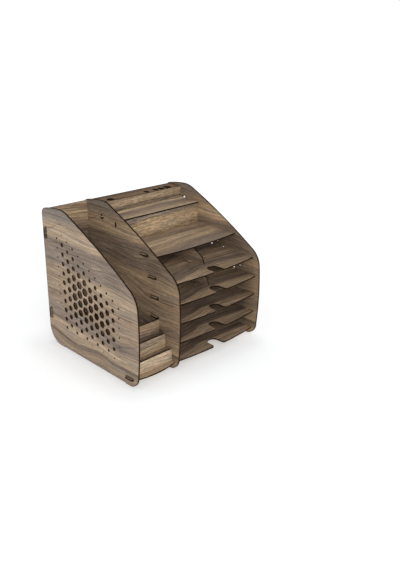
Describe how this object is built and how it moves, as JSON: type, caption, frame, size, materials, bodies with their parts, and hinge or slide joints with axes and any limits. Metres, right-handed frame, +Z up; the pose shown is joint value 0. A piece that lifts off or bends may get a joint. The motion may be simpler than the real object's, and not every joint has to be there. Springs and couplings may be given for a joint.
{
  "type": "desk organizer with lift lid",
  "caption": "Slotted wood-veneer desk organizer: paper trays with finger notches, a stepped file bay, a box with a lift lid and a pen ledge between hex-pierced sides.",
  "frame": {"origin": "middle of the footprint on the desk top, at the centre of the bounding box's bottom face", "axes": "+X to the right as seen from the open front, -Y towards the user, +Z up"},
  "size_m": [0.362, 0.3061, 0.3144],
  "materials": {
    "walnut_board": "satin walnut veneer on fibreboard, laser-cut edges burnt dark brown"
  },
  "bodies": {
    "frame": {"side_panel_left": "walnut_board", "middle_panel": "walnut_board", "side_panel_right": "walnut_board", "back_panel_left": "walnut_board", "back_panel_right": "walnut_board", "left_floor": "walnut_board", "step_board_back": "walnut_board", "step_board_middle": "walnut_board", "step_board_front": "walnut_board", "tray_1": "walnut_board", "tray_2": "walnut_board", "tray_3": "walnut_board", "tray_4": "walnut_board", "tray_5": "walnut_board", "upper_shelf": "walnut_board", "box_front": "walnut_board", "ledge_riser": "walnut_board", "pen_ledge": "walnut_board", "divider_upper": "walnut_board", "divider_lower": "walnut_board"},
    "lid": {"lid": "walnut_board"}
  },
  "joints": [
    {"name": "lid_hinge", "type": "hinge", "parent": "frame", "child": "lid", "pos_m": [0.0535, 0.08955, 0.279], "axis": [-1, 0, 0], "range_deg": [0, 114]}
  ]
}
